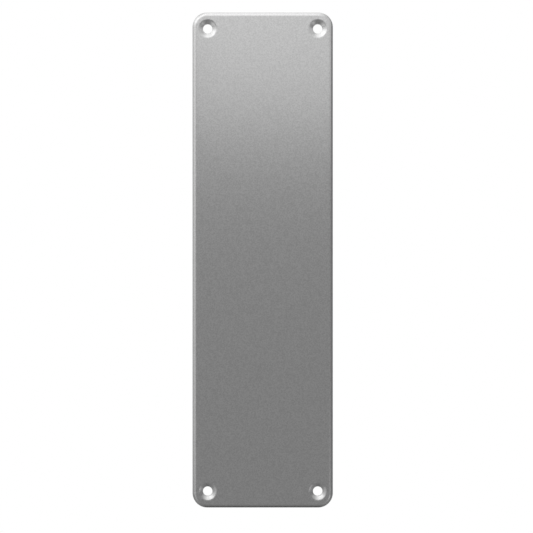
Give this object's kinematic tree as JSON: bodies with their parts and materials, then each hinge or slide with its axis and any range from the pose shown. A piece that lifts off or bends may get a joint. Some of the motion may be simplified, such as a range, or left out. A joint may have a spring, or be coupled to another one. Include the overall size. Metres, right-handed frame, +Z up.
{
  "type": "door finger plate",
  "caption": "Flat rectangular metal plate that guards a door from fingermarks, with round corners, a turned-down rounded rim, a hollow back and dished screw holes near the corners.",
  "frame": {"origin": "middle of the rectangle of screw holes, on the plane of the door's surface", "axes": "+Z up the plate's length, +X across it to the right as seen from the front, -Y straight out of the door towards the hand"},
  "size_m": [0.076, 0.0027, 0.268],
  "materials": {
    "plate": "satin anodised, fine even grain"
  },
  "bodies": {
    "root": {"finger_plate": "plate"}
  },
  "joints": []
}
